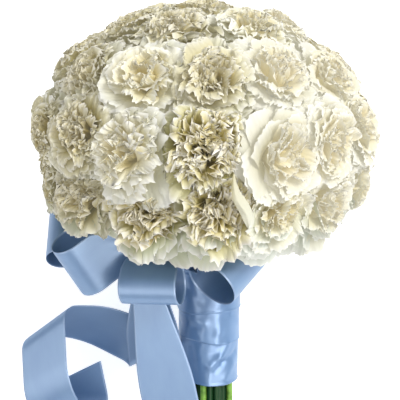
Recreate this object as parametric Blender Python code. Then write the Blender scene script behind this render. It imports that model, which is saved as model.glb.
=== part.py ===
"""Hand-tied bouquet of white carnations with a blue satin ribbon, laid down on a table.

The bouquet is worked out upright: the middle of its round head is at the origin and the stems run
down along -Z. It is then leaned over, until the head and the cut stem ends rest on the table, z = 0.
Lengths are in metres and angles in degrees."""

import math
import random

import bmesh
import bpy
from mathutils import Matrix, Vector

# The round head of blooms
HEAD_RADIUS = 0.135
HEAD_HEIGHT = 0.103
HEAD_SHIFT = -0.005
BLOOM_ROWS = ((1, 0, 0), (6, 26, 12), (12, 53, 3), (15, 82, 6), (14, 109, 15))
HEAD_TILT = 7
HEAD_TILT_WAY = -86
BLOOM_FOCUS = -0.015
BLOOM_GAP = 0.0004
HEART_DEPTH = 0.026
HEART_TO_CALYX = 0.016
PLACE_JITTER = 3.0
PLACE_SEED = 11

# Where the bow presses the lowest blooms up: a spot, the way it presses against, and how far away
# the hearts of those blooms are
PRESSED = (
    ((-0.118, 0.005, -0.0570), (0, 0.126, -0.992), 0.060),
    ((-0.085, -0.061, -0.0575), (0, 0.550, -0.835), 0.036),
)

# One bloom: how its petal edges stand out round its heart
SPOKES = 14
BLOOM_BASE_RADIUS = 0.0075
FOLD_SWING = 4.5
EDGE_SWING = 0.09
PETAL_NOTCH = 0.16

# Calyxes and stems
CALYX_RADIUS = 0.0075
CALYX_LENGTH = 0.024
CALYX_FOOT_RADIUS = 0.0045
CALYX_SEAT_GAP = 0.0003
STEM_RADIUS = 0.0024
STEM_SPACING = 0.0053
STEM_SIDES = 4
STEM_END_SIDES = 5
BUNDLE_TOP = -0.088
BUNDLE_FOOT = -0.200
BUNDLE_TOP_RADIUS = 0.0232
BUNDLE_FOOT_RADIUS = 0.0210
STEM_END = -0.243
STEM_END_SPREAD = 1.04
STEM_END_JITTER = 0.003

# Binding tape and ribbon wrap of the handle
TAPE_TOP = -0.112
TAPE_WIDTH = 0.013
TAPE_THICKNESS = 0.0008
SEAT_GAP = 0.0003
WRAP_TOP = -0.0945
WRAP_FOOT = -0.204
WRAP_TURNS = 4
WRAP_THICKNESS = 0.0010
WRAP_STEP = 0.0009
WRAP_SLANT = 0.0035
WRAP_SIDES = 24

# The ribbon: a strip that only bends, with its ends gathered at the knot. A bend is the length of
# strip before it, its turn, its radius and the slant of its crease.
RIBBON_WIDTH = 0.046
RIBBON_THICKNESS = 0.0008
RIBBON_STEP = 0.012
LAYER_SPACING = 0.0026
GATHERED = 0.0055
GATHER_STEP = 0.003

# The knot, a bar of gathered ribbon, and the band that ties it to the handle
KNOT_MIDDLE = (-0.0278, -0.040, -0.086)
KNOT_LENGTH = 0.0335
KNOT_RADIUS = 0.009
NECK_MIDDLE = (-0.0168, -0.0302, -0.0975)
NECK_SIZE = (0.016, 0.016, 0.013)
BAND_TOP = -0.0955
BAND_WIDTH = 0.011
BAND_THICKNESS = 0.0012

# Where the knot holds an end: the spot, the line of its gathers, and how far they fan out
HOLDS = {
    "front": ((-0.0380, -0.0530, -0.0820), (1, 0, 0), 0.015),
    "left_front": ((-0.0462, -0.0410, -0.085), (0, 0, -1), 0.034),
    "left_back": ((-0.0468, -0.0350, -0.085), (0, 0, -1), 0.036),
    "right": ((-0.0094, -0.0410, -0.086), (0, 0.3, 0.95), 0.022),
    "below_front": ((-0.036, -0.0410, -0.0951), (1, 0, 0), 0.022),
    "below_back": ((-0.034, -0.0345, -0.0938), (1, 0, 0), 0.026),
}

# Loops: their far end, the way they point (turned from +X towards +Z, then towards the front), the
# roll of their width, the radius of their turn, their length, and their hold
LOOPS = {
    "bow_loop_centre": ((-0.0440, -0.0705, -0.1190), (270, 12), -17, 0.0135, 0.040, "front"),
    "bow_loop_left_front": ((-0.111, -0.050, -0.0975), (209, 1), 20, 0.015, 0.063, "left_front"),
    "bow_loop_left_back": ((-0.130, -0.008, -0.080), (176, 4), -52, 0.011, 0.088, "left_back"),
    "bow_loop_right": ((0.029, -0.046, -0.107), (311, 0), 37, 0.017, 0.042, "right"),
}

# Tails: their start, way and roll as for loops, their bends, length, the slant of the cut end,
# their hold, and how far its gathers narrow them
TAIL_FRONT = (
    (-0.054, -0.040, -0.095),
    (281, -4),
    -8,
    ((0.146, -40, 0.025, 0),),
    0.186,
    39,
    "below_front",
    0.112,
)
TAIL_CURL = (
    (-0.049, -0.032, -0.097),
    (273, -16.5),
    -14,
    (
        (0.082, -176, 0.006, -33),
        (0.130, -40, 0.055, -24),
        (0.186, -110, 0.009, -27),
        (0.234, -44, 0.040, -20),
        (0.288, -190, 0.017, 8),
    ),
    0.374,
    39,
    "below_back",
    0,
)

# How the bouquet lies
LEAN = 25.5
HEAD_MIDDLE_HEIGHT = 0.1259
HEAD_MIDDLE_X = 0.0102
HEAD_MIDDLE_Y = 0.0669
SHARP_ANGLE = 40

PETAL_WHITE = (0.93, 0.91, 0.80, 1)
STEM_GREEN = (0.16, 0.30, 0.12, 1)
TAPE_GREEN = (0.13, 0.22, 0.10, 1)
SATIN_BLUE = (0.33, 0.48, 0.75, 1)


def material(name, colour, roughness):
    """A plain surface of one colour."""
    made = bpy.data.materials.new(name)
    made.use_nodes = True
    shader = made.node_tree.nodes["Principled BSDF"]
    shader.inputs["Base Color"].default_value = colour
    shader.inputs["Roughness"].default_value = roughness
    shader.inputs["Metallic"].default_value = 0
    return made


def lay_down():
    """The empty that carries the upright bouquet: it leans over onto the table."""
    empty = bpy.data.objects.new("bouquet", None)
    empty.location = (HEAD_MIDDLE_X, HEAD_MIDDLE_Y, HEAD_MIDDLE_HEIGHT)
    empty.rotation_euler = (math.radians(LEAN - 90), 0, 0)
    bpy.context.scene.collection.objects.link(empty)
    return empty


def add_object(name, points, faces, surface, origin=(0, 0, 0), collection=None):
    """A mesh object of the upright bouquet, carried by the empty."""
    mesh = bpy.data.meshes.new(name)
    mesh.from_pydata([tuple(Vector(p) - Vector(origin)) for p in points], [], faces)
    mesh.materials.append(surface)
    obj = bpy.data.objects.new(name, mesh)
    obj.parent = bpy.data.objects["bouquet"]
    obj.location = origin
    (collection or bpy.context.scene.collection).objects.link(obj)
    shade(mesh)
    return obj


def shade(mesh):
    """Smooth over round faces, with sharp edges elsewhere."""
    mesh.shade_smooth()
    mesh.set_sharp_from_angle(angle=math.radians(SHARP_ANGLE))


def ring_faces(rings, around):
    """Triangles between rings of points that follow each other, each ring with the same count.
    They suit rings that stand half a step apart, to and fro."""
    faces = []
    for ring in range(rings - 1):
        for k in range(around):
            a, b = ring * around + k, ring * around + (k + 1) % around
            c, d = a + around, b + around
            faces += [(a, b, c), (b, d, c)] if ring % 2 else [(a, b, d), (a, d, c)]
    return faces


def fan_faces(first, around, tip, flip):
    """Triangles from a ring of points to one point."""
    pairs = [(first + k, first + (k + 1) % around) for k in range(around)]
    return [(b, a, tip) if flip else (a, b, tip) for a, b in pairs]


def bloom_places():
    """Where each bloom stands: the heart that its petals spread from, and the way it faces."""
    draw = random.Random(PLACE_SEED)
    places = []
    for count, from_crown, turn in BLOOM_ROWS:
        for k in range(count):
            angle = from_crown + draw.uniform(-1, 1) * PLACE_JITTER * (count > 1)
            slack = PLACE_JITTER / max(math.sin(math.radians(angle)), 0.3)
            round_it = math.radians(360 * k / count + turn + draw.uniform(-1, 1) * slack)
            tilt = HEAD_TILT * math.cos(round_it - math.radians(HEAD_TILT_WAY))
            down = math.radians(angle + tilt * (from_crown / BLOOM_ROWS[-1][1]) ** 2)
            top = Vector(
                (
                    HEAD_RADIUS * math.sin(down) * math.cos(round_it) + HEAD_SHIFT,
                    HEAD_RADIUS * math.sin(down) * math.sin(round_it),
                    HEAD_HEIGHT * math.cos(down),
                )
            )
            facing = (top - Vector((HEAD_SHIFT, 0, BLOOM_FOCUS))).normalized()
            places.append((top - facing * HEART_DEPTH, facing))
    return places


def cell_walls(index, hearts, table):
    """Planes that a bloom keeps inside: halfway to each near neighbour, the table top and the
    ribbon below."""
    heart = hearts[index]
    walls = [table]
    for spot, against, near in PRESSED:
        if (heart - Vector(spot)).length < near:
            walls.append((Vector(spot), Vector(against).normalized()))
    for other in hearts:
        apart = other - heart
        if 0 < apart.length < 3 * HEAD_RADIUS / 2:
            walls.append((heart + apart / 2, apart.normalized()))
    return walls


def reach_to_walls(heart, way, walls):
    """How far a petal can reach from the heart before it meets a wall of its cell."""
    reaches = []
    for point, outward in walls:
        closing = way.dot(outward)
        if closing > 1e-6:
            reaches.append(((point - heart).dot(outward) - BLOOM_GAP / 2) / closing)
    return min(reaches, default=HEAD_RADIUS)


def petal_edges(low_row):
    """Rings of a bloom from its underside to its middle: angle from its face, reach, and whether
    it is an edge (1), a fold between petals (-1) or plain (0). Blooms of the lowest row show their
    guard petals from below, so they have a layer more."""
    rings = [(60, 0.0435, 1), (48, 0.0255, -1), (37, 0.0330, 1), (25, 0.0190, -1), (13, 0.0275, 1)]
    if low_row:
        return [(122, 0.0240, 0), (88, 0.0360, 1), (74, 0.0290, -1)] + rings
    return [(98, 0.0330, 0)] + rings


def make_bloom(name, index, places, walls, low_row, surface):
    """One bloom: layers of waved petal edges round its heart, pressed against its neighbours."""
    heart, facing = places[index]
    draw = random.Random(PLACE_SEED * 100 + index)
    side = facing.orthogonal().normalized()
    up = facing.cross(side)
    spin = draw.uniform(0, 2 * math.pi)
    rings = petal_edges(low_row)
    foot = heart - facing * HEART_TO_CALYX
    points = []
    for k in range(SPOKES):
        across = spin + 2 * math.pi * (k + 0.5) / SPOKES
        points.append(foot + BLOOM_BASE_RADIUS * (side * math.cos(across) + up * math.sin(across)))
    for layer, (angle, reach, kind) in enumerate(rings):
        for k in range(SPOKES):
            swing = (1 if (k + layer // 2) % 2 else -1) * kind * FOLD_SWING
            down = math.radians(angle + swing + draw.uniform(-1, 1))
            notch = PETAL_NOTCH if kind == 1 and (k + layer) % 4 == 0 else 0
            length = reach * (1 - notch + draw.uniform(-1, 1) * EDGE_SWING * abs(kind))
            across = spin + 2 * math.pi * (k + 0.5 * (layer % 2)) / SPOKES
            way = facing * math.cos(down) + math.sin(down) * (
                side * math.cos(across) + up * math.sin(across)
            )
            points.append(heart + way * min(length, reach_to_walls(heart, way, walls)))
    middle = heart + facing * min(0.021, reach_to_walls(heart, facing, walls))
    points += [foot, middle]
    faces = ring_faces(len(rings) + 1, SPOKES)
    faces += fan_faces(0, SPOKES, len(points) - 2, True)
    faces += fan_faces(len(rings) * SPOKES, SPOKES, len(points) - 1, False)
    return add_object(name, points, faces, surface, origin=heart)


def make_blooms(places, surface):
    """Every bloom of the head, each in the cell between its neighbours."""
    hearts = [heart for heart, _ in places]
    down = Matrix.Rotation(math.radians(90 - LEAN), 3, "X") @ Vector((0, 0, -1))
    table = (down * HEAD_MIDDLE_HEIGHT, down)
    first_low = len(places) - BLOOM_ROWS[-1][0]
    for index in range(len(places)):
        walls = cell_walls(index, hearts, table)
        make_bloom(f"bloom_{index + 1:02d}", index, places, walls, index >= first_low, surface)


def stem_spots(places):
    """Where each stem stands in the bundle: a close packing, with the stems of each row of blooms
    in the same order round the bundle as their blooms round the head."""
    steps = range(-6, 7)
    spots = [
        Vector((STEM_SPACING * (a + b / 2 + 0.13), STEM_SPACING * (b * math.sqrt(0.75) + 0.07)))
        for a in steps
        for b in steps
    ]
    spots.sort(key=lambda spot: spot.length)
    found, start = [], 0
    for count, _, _ in BLOOM_ROWS:
        row = range(start, start + count)
        by_angle = sorted(spots[start : start + count], key=lambda s: math.atan2(s.y, s.x))
        order = sorted(row, key=lambda i: math.atan2(places[i][0].y, places[i][0].x))
        found += [spot for _, spot in sorted(zip(order, by_angle))]
        start += count
    return found


def tube(name, route, radii, sides, surface, collection):
    """A closed tube along a few points."""
    points = []
    for k, (point, radius) in enumerate(zip(route, radii)):
        before, after = route[max(k - 1, 0)], route[min(k + 1, len(route) - 1)]
        along = (after - before).normalized()
        side = along.cross(Vector((0.31, 0.95, 0.05))).normalized()
        up = along.cross(side)
        for j in range(sides):
            angle = 2 * math.pi * j / sides
            points.append(point + radius * (side * math.cos(angle) + up * math.sin(angle)))
    points += [route[0], route[-1]]
    faces = ring_faces(len(route), sides)
    faces += fan_faces(0, sides, len(points) - 2, True)
    faces += fan_faces((len(route) - 1) * sides, sides, len(points) - 1, False)
    return add_object(name, points, faces, surface, collection=collection)


def make_stems(places, surface):
    """Calyxes and stems of all blooms, which are pressed together where they are bound."""
    draw = random.Random(PLACE_SEED + 1)
    parts = bpy.data.collections.new("stem_parts")
    bpy.context.scene.collection.children.link(parts)
    bundle = tube(
        "stems",
        [Vector((0, 0, BUNDLE_TOP)), Vector((0, 0, BUNDLE_FOOT))],
        [BUNDLE_TOP_RADIUS, BUNDLE_FOOT_RADIUS],
        WRAP_SIDES,
        surface,
        None,
    )
    root = 0.006
    for (heart, facing), spot in zip(places, stem_spots(places)):
        calyx_top = heart - facing * (HEART_TO_CALYX + CALYX_SEAT_GAP)
        calyx_foot = calyx_top - facing * CALYX_LENGTH
        bend = calyx_foot - facing * 0.010 + Vector((0, 0, -0.006))
        entry = Vector((spot.x, spot.y, BUNDLE_TOP - root))
        route = [calyx_top, calyx_top - facing * CALYX_LENGTH * 0.6, calyx_foot, bend, entry]
        radii = [CALYX_RADIUS, CALYX_RADIUS * 0.85, CALYX_FOOT_RADIUS, STEM_RADIUS, STEM_RADIUS]
        tube("stem_above", route, radii, STEM_SIDES, surface, parts)
        cut = STEM_END + draw.uniform(-1, 1) * STEM_END_JITTER
        spread = Vector((spot.x * STEM_END_SPREAD, spot.y * STEM_END_SPREAD, cut))
        ends = [Vector((spot.x, spot.y, BUNDLE_FOOT + root)), spread]
        tube("stem_below", ends, [STEM_RADIUS] * 2, STEM_END_SIDES, surface, parts)
    return join_parts(bundle, parts)


def join_parts(body, parts):
    """Unite a body with all pieces of a collection, which are then removed."""
    union = body.modifiers.new("join", "BOOLEAN")
    union.operation = "UNION"
    union.operand_type = "COLLECTION"
    union.collection = parts
    union.solver = "EXACT"
    graph = bpy.context.evaluated_depsgraph_get()
    joined = bpy.data.meshes.new_from_object(body.evaluated_get(graph))
    body.modifiers.clear()
    body.data = joined
    keep_outside(joined)
    shade(joined)
    for obj in list(parts.objects):
        bpy.data.objects.remove(obj)
    bpy.data.collections.remove(parts)
    return body


def keep_outside(mesh):
    """Drop hollows that the union sealed and loose scraps, so that one closed surface is left."""
    shape = bmesh.new()
    shape.from_mesh(mesh)
    unseen, islands = set(shape.faces), []
    while unseen:
        island, border = set(), [unseen.pop()]
        while border:
            face = border.pop()
            island.add(face)
            edges = [edge for edge in face.edges if len(edge.link_faces) == 2]
            near = {other for edge in edges for other in edge.link_faces} & unseen
            unseen -= near
            border += near
        islands.append(island)
    largest = max(islands, key=len)
    loose = [face for island in islands if island is not largest for face in island]
    bmesh.ops.delete(shape, geom=loose, context="FACES")
    shape.to_mesh(mesh)
    shape.free()


def handle_radius(height):
    """Radius of the bundle of stems at a height."""
    share = (height - BUNDLE_TOP) / (BUNDLE_FOOT - BUNDLE_TOP)
    return BUNDLE_TOP_RADIUS + (BUNDLE_FOOT_RADIUS - BUNDLE_TOP_RADIUS) * share


def make_tape(surface):
    """The tape that binds the stems under the ribbon."""
    heights = (TAPE_TOP, TAPE_TOP - TAPE_WIDTH)
    inner = [(handle_radius(z) + SEAT_GAP, z) for z in heights]
    outer = [(r + TAPE_THICKNESS, z) for r, z in inner]
    return make_sleeve("binding_tape", [(r, z, 0) for r, z in inner + outer[::-1]], surface)


def make_sleeve(name, profile, surface):
    """A closed ring of constant section: profile points are radius, height and slant."""
    points = [
        (
            radius * math.cos(2 * math.pi * k / WRAP_SIDES),
            radius * math.sin(2 * math.pi * k / WRAP_SIDES),
            height + slant * math.sin(2 * math.pi * k / WRAP_SIDES + 0.8),
        )
        for radius, height, slant in profile + profile[:1]
        for k in range(WRAP_SIDES)
    ]
    count = len(profile) * WRAP_SIDES
    faces = [
        tuple(index % count for index in face) for face in ring_faces(len(profile) + 1, WRAP_SIDES)
    ]
    return add_object(name, points[:count], faces, surface)


def make_wrap(surface):
    """The ribbon wound round the handle: each turn laps over the one below it."""
    lining = SEAT_GAP * 2 + TAPE_THICKNESS
    inner = [(handle_radius(z) + lining, z, 0) for z in (WRAP_TOP, WRAP_FOOT)]
    pitch = (WRAP_TOP - WRAP_FOOT) / WRAP_TURNS
    outer = []
    for turn in range(WRAP_TURNS):
        top, foot = WRAP_TOP - turn * pitch, WRAP_TOP - (turn + 1) * pitch
        slants = (WRAP_SLANT * (turn > 0), WRAP_SLANT * (turn < WRAP_TURNS - 1))
        bulge = WRAP_THICKNESS + WRAP_STEP
        outer.append((handle_radius(top) + lining + WRAP_THICKNESS, top - 0.0002, slants[0]))
        outer.append((handle_radius(foot) + lining + bulge, foot, slants[1]))
    return make_sleeve("handle_wrap", inner + outer[::-1], surface)


def heading(turn, forward):
    """A direction: turned from +X towards +Z, then towards the front."""
    turn, forward = math.radians(turn), math.radians(forward)
    return Vector(
        (
            math.cos(turn) * math.cos(forward),
            -math.sin(forward),
            math.sin(turn) * math.cos(forward),
        )
    )


def width_axis(along, roll):
    """Direction across a strip that runs along a heading, with its shiny side to the front."""
    front = Vector((0, -1, 0))
    front = (front - along * front.dot(along)).normalized()
    roll = math.radians(roll)
    return front.cross(along) * math.cos(roll) - front * math.sin(roll)


def bend_strip(before, turn, radius, slant):
    """How the rest of a strip moves when a length of it is rolled onto a cylinder."""
    crease = Vector((math.sin(slant), math.cos(slant), 0))
    ahead = Vector((math.cos(slant), -math.sin(slant), 0))
    corner = Vector((before, 0, 0))
    rise = math.copysign(radius * (1 - math.cos(turn)), turn)
    bent = corner + ahead * radius * math.sin(abs(turn)) + Vector((0, 0, rise))
    return (
        Matrix.Translation(bent)
        @ Matrix.Rotation(-turn, 4, crease)
        @ Matrix.Translation(-corner - ahead * radius * abs(turn))
    )


class Strip:
    """A flat strip of ribbon, bent along straight creases and gathered where the knot holds it."""

    def __init__(self, start, along, across, bends, length):
        axes = (along, across, along.cross(across), Vector(start))
        self.frame = Matrix([axis.to_4d() for axis in axes]).transposed()
        for column in range(3):
            self.frame[3][column] = 0
        self.bends = [(b, math.radians(t), r, math.radians(s)) for b, t, r, s in bends]
        self.length = length
        self.cut = 0
        self.narrowed = 0
        self.hold = None
        self.held_ends = 1

    def marks(self):
        """Distances along the middle at which the strip has points across it, and their slant."""
        found = [(0, 0)]
        for before, turn, radius, slant in self.bends:
            run = radius * abs(turn) / math.cos(slant)
            steps = max(2, math.ceil(abs(turn) / math.radians(24)))
            found += [(before + run * k / steps, math.tan(slant)) for k in range(steps + 1)]
        found.append((self.length, math.tan(self.cut)))
        filled = found[:1]
        for (s0, t0), (s1, t1) in zip(found, found[1:]):
            steps = max(1, round((s1 - s0) / RIBBON_STEP))
            shares = [k / steps for k in range(1, steps + 1)]
            filled += [(s0 + (s1 - s0) * k, t0 + (t1 - t0) * k) for k in shares]
        return filled

    def place(self, along, across):
        """The strip's own axes at a distance along it and across it."""
        frame = self.frame
        for before, turn, radius, slant in self.bends:
            into = (along - before) * math.cos(slant) - across * math.sin(slant)
            if into <= 0:
                break
            done = min(into / radius, abs(turn))
            frame = frame @ bend_strip(before, math.copysign(done, turn), radius, slant)
        return frame @ Vector((along, across, 0)), frame.to_3x3() @ Vector((0, 0, 1))

    def gathered(self, mark, slant, share, height):
        """A point of the ribbon beside a mark, -1 to 1 across it and off its middle layer."""
        for end in range(self.held_ends):
            away = abs(mark - end * self.length)
            if away < self.hold[2]:
                return self.held(away, end, share, height)
        across = share * self.half_width(mark)
        point, normal = self.place(mark + across * slant, across)
        return point + normal * height

    def half_width(self, mark):
        """Half the width of the strip, which may be folded narrower towards its held end."""
        if mark < self.narrowed:
            return RIBBON_WIDTH / 2 * (1 - 0.55 * ease(1 - mark / self.narrowed))
        return RIBBON_WIDTH / 2

    def middle_row(self, away):
        """Midway between the held layers: the middle, half the width, and half the gap there."""
        half = self.half_width(away)
        middle, _ = self.place(away, 0)
        side, _ = self.place(away, half)
        side, gap = side - middle, 0
        if self.held_ends == 2:
            other, _ = self.place(self.length - away, 0)
            middle, gap = (middle + other) / 2, (middle - other).length / 2
        spot, line, reach = self.hold
        drawn = ease(1 - away / reach)
        gap += LAYER_SPACING / 2 * drawn * (self.held_ends - 1)
        return middle.lerp(Vector(spot), drawn), side.lerp(Vector(line) * GATHERED, drawn), gap

    def held(self, away, end, share, height):
        """A point of the ribbon where it is drawn together towards its hold."""
        middle, side, gap = self.middle_row(away)
        after, _, _ = self.middle_row(min(away + GATHER_STEP, self.hold[2]))
        before, _, _ = self.middle_row(max(away - GATHER_STEP, 0))
        normal = (after - before).cross(side).normalized()
        return middle + side * share + normal * (gap + height) * (-1 if end else 1)


def ease(share):
    """From 0 to 1, with level ends."""
    return share * share * (3 - 2 * share)


def make_ribbon(name, strip, surface):
    """A solid strip of ribbon, from its points on both faces."""
    marks = strip.marks()
    half = RIBBON_THICKNESS / 2
    edges = ((-1, half), (1, half), (1, -half), (-1, -half))
    points = [strip.gathered(s, slant, side, height) for s, slant in marks for side, height in edges]
    faces = []
    for row in range(len(marks) - 1):
        for k in range(4):
            a, b = row * 4 + k, row * 4 + (k + 1) % 4
            c, d = a + 4, b + 4
            faces += [(a, d, b), (a, c, d)] if k != 2 else [(a, c, b), (b, c, d)]
    last = len(points) - 4
    faces += [(0, 1, 2), (0, 2, 3), (last, last + 2, last + 1), (last, last + 3, last + 2)]
    return add_object(name, points, faces, surface, origin=strip.hold[0])


def make_loop(name, tip, way, roll, radius, length, hold, surface):
    """A loop of ribbon shaped like a drop, with both ends at the knot."""
    out = heading(*way)
    across = width_axis(out, roll)
    lift = out.cross(across)
    spread = math.asin(radius / (length - radius))
    run = radius / math.tan(spread)
    start = Vector(tip) - out * length
    turn = -180 - 2 * math.degrees(spread)
    whole = 2 * run + radius * math.radians(-turn)
    along = out * math.cos(spread) + lift * math.sin(spread)
    strip = Strip(start, along, across, [(run, turn, radius, 0)], whole)
    strip.hold = HOLDS[hold]
    strip.held_ends = 2
    return make_ribbon(name, strip, surface)


def make_tail(name, start, way, roll, bends, length, cut, hold, narrowed, surface):
    """A loose end of the ribbon, cut off at a slant."""
    out = heading(*way)
    across = width_axis(out, roll)
    strip = Strip(start, out, across, bends, length)
    strip.cut = math.radians(cut)
    strip.narrowed = narrowed
    strip.hold = HOLDS[hold]
    return make_ribbon(name, strip, surface)


def make_knot(surface):
    """The knot, with the band that ties it to the top of the handle."""
    inner = handle_radius(BAND_TOP) + SEAT_GAP * 3 + TAPE_THICKNESS + WRAP_THICKNESS + WRAP_STEP
    outer = inner + BAND_THICKNESS
    low = BAND_TOP - BAND_WIDTH
    profile = [(inner, BAND_TOP, 0), (inner, low, 0), (outer, low, 0), (outer, BAND_TOP, 0)]
    knot = make_sleeve("bow_knot", profile, surface)
    parts = bpy.data.collections.new("knot_parts")
    bpy.context.scene.collection.children.link(parts)
    middle, reach = Vector(KNOT_MIDDLE), Vector((KNOT_LENGTH / 2, 0, 0))
    route = [middle - reach, middle - reach * 0.75, middle + reach * 0.75, middle + reach]
    radii = [KNOT_RADIUS * share for share in (0.75, 1, 1, 0.75)]
    tube("knot_bar", route, radii, 12, surface, parts)
    high = Vector((0, 0, NECK_SIZE[2] / 2))
    neck = [Vector(NECK_MIDDLE) - high, Vector(NECK_MIDDLE) + high]
    tube("knot_neck", neck, [NECK_SIZE[0] / 2] * 2, 8, surface, parts)
    return join_parts(knot, parts)


def main():
    for obj in list(bpy.data.objects):
        bpy.data.objects.remove(obj)
    lay_down()
    petals = material("petals", PETAL_WHITE, 0.6)
    green = material("stems", STEM_GREEN, 0.5)
    tape = material("tape", TAPE_GREEN, 0.6)
    satin = material("satin", SATIN_BLUE, 0.35)
    places = bloom_places()
    make_blooms(places, petals)
    make_stems(places, green)
    make_tape(tape)
    make_wrap(satin)
    make_knot(satin)
    for name, loop in LOOPS.items():
        make_loop(name, *loop, satin)
    make_tail("tail_front", *TAIL_FRONT, satin)
    make_tail("tail_curl", *TAIL_CURL, satin)


main()
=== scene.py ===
"""The looks of a hand-tied bouquet of white carnations with a blue satin ribbon.

The bouquet is worked out upright, as in the model: the middle of its round head is at the
origin and the stems run down along -Z. It is then laid down on the table. Lengths are in metres and
angles in degrees, unless a name says otherwise."""

import math
import random

import bpy
import numpy as np
from mathutils import Matrix, Vector

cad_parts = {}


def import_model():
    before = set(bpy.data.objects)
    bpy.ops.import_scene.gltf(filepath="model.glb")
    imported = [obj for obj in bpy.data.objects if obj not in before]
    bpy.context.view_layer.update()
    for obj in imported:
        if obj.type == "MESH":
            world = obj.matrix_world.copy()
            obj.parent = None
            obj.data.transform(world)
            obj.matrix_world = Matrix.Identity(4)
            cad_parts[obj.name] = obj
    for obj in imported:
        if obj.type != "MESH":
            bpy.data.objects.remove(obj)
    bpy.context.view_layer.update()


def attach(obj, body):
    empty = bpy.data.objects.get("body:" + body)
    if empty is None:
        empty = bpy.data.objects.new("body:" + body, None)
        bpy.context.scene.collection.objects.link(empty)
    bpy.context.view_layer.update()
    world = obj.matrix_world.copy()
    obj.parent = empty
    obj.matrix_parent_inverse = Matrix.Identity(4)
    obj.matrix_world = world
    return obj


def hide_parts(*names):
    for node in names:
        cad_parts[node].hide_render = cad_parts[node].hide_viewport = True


# How the bouquet lies
LEAN = 25.5
HEAD_MIDDLE = (0.0102, 0.0669, 0.1259)
LAID = Matrix.Translation(HEAD_MIDDLE) @ Matrix.Rotation(math.radians(LEAN - 90), 4, "X")

# Where the blooms stand in the head, as in the model
HEAD_RADIUS = 0.135
HEAD_HEIGHT = 0.103
HEAD_SHIFT = -0.005
BLOOM_ROWS = ((1, 0, 0), (6, 26, 12), (12, 53, 3), (15, 82, 6), (14, 109, 15))
HEAD_TILT = 7
HEAD_TILT_WAY = -86
BLOOM_FOCUS = -0.015
HEART_DEPTH = 0.026
PLACE_JITTER = 3.0
PLACE_SEED = 11
FACE_TURN = 13
NEIGHBOUR = 0.1
# Blooms near a spot are pressed in by the bow: the spot, the way, and how near
PRESSED = (
    ((-0.118, 0.005, -0.057), (0, 0.126, -0.992), 0.06),
    ((-0.085, -0.061, -0.0575), (0, 0.55, -0.835), 0.036),
)

# Rings of petals in a bloom: how many, angle from its face, reach, half width, how far the margin
# curls back, waves across the margin, and their height
PETAL_RINGS = (
    (8, 90, 0.041, 0.0235, 0.004, 2.0, 0.002),
    (8, 74, 0.042, 0.0225, 0.0045, 2.2, 0.0026),
    (7, 57, 0.041, 0.02, 0.003, 2.4, 0.0028),
    (8, 41, 0.0385, 0.017, 0.0015, 2.4, 0.0028),
    (7, 26, 0.035, 0.015, 0.0005, 2.4, 0.0026),
    (6, 11, 0.032, 0.013, 0.0, 2.4, 0.0024),
)
GUARD_RING = (9, 97, 0.0525, 0.024, 0.0015, 1.8, 0.0024)
PETAL_ROWS = (0.0, 0.42, 0.68, 0.84, 0.94, 1.0)
PETAL_COLUMNS = 38
FINE_FRILL = 0.0029
TOOTH = 0.0005
TOOTH_JITTER = 0.0004
BROAD_WAVE = 0.0012
LEANING = 0.2
CRUMPLE = 0.0011
CRUMPLE_WAVES = 8
CRUMPLE_LENGTHS = (0.008, 0.02)
# A whole turn of the waves, in radians
ROUND = 6.28
# How much petals of a ring differ: way round, angle, and then as in the rings
RING_SPREAD = (
    (-0.35, 0.35), (-12, 12), (0.9, 1.04), (0.85, 1.15), (-0.4, 2.4), (0.75, 1.3), (0.7, 1.35),
)
# How far a claw starts beside the bloom's middle line and below its heart, where it bends, beside
# that line and above the heart, and the least radius on which a petal is curved across
CLAW_OUT = 0.0015
CLAW_DEPTH = 0.012
CLAW_BEND_OUT = 0.002
CLAW_BEND_UP = 0.009
LEAST_BOW = 0.012

# How petals give way: how far one reaches over its neighbours, from what share of its room on it
# bends, and how one whose tip has less room than a share of its reach folds up
OVERLAP = (1.04, 1.46)
SOFT_FROM = 0.72
FOLD_UP_BELOW = 0.88
FOLD_UP_LEAST = math.radians(40)
FOLD_UP_STEP = math.radians(3.5)
FOLD_UP_STEPS = 14
LONG_PETAL = 0.0435
TINY = 1e-4
NO_WALL = 9.0

# The head's round outline above and below its middle
DOME = (0.1445, 0.1445, 0.1115)
DOME_BELOW = (0.1465, 0.1465, 0.19)
# Each bloom bulges: how far out over its middle, how far in at its rim, and its rim's angle
BULGE = (0.027, 0.05)
BLOOM_SPAN = 14

# Where the head is flatter than a plain dome: the way from its middle, how much flatter, and how
# far round that reaches in degrees
DENTS = (
    ((-0.77, -0.1, 0.64), 0.045, 24),
    ((0.84, -0.1, 0.54), 0.07, 22),
    ((-0.97, -0.2, -0.22), 0.13, 20),
    ((0.81, -0.25, -0.58), 0.15, 15),
)

# Each bloom in view: how far it has opened, how far it stands out over its neighbours, and how
# white it is. How white is partly each bloom's own tone and partly painted light: blooms on the
# right, where the light is brightest, are whiter, those on the shaded left creamier. The others
# are drawn at random.
BLOOMS = {
    5: (0.5, 0.4, 0.6), 6: (0.4, 0.7, 0.55), 7: (0.6, 0.5, 0.7), 8: (0.8, 0.6, 0.9),
    14: (0.6, 0.6, 0.55), 15: (0.5, 0.4, 0.6), 16: (0.8, 0.9, 0.7), 17: (0.5, 0.3, 0.6),
    18: (0.8, 0.5, 1.0), 19: (0.9, 0.6, 0.9), 28: (0.5, 0.3, 0.2), 29: (0.5, 0.5, 0.2),
    30: (0.4, 1.0, 0.8), 31: (0.0, 0.1, 0.0), 32: (1.0, 1.0, 1.0), 33: (1.0, 0.4, 1.0),
    34: (0.9, 0.7, 0.9), 42: (0.4, 0.3, 0.2), 43: (0.3, 0.2, 0.3), 44: (0.1, 0.5, 0.1),
    45: (0.1, 0.4, 0.1), 46: (0.9, 0.8, 0.7), 47: (0.9, 0.5, 0.9), 48: (0.9, 0.5, 0.9),
}
STANDS_OUT = 0.006

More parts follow.
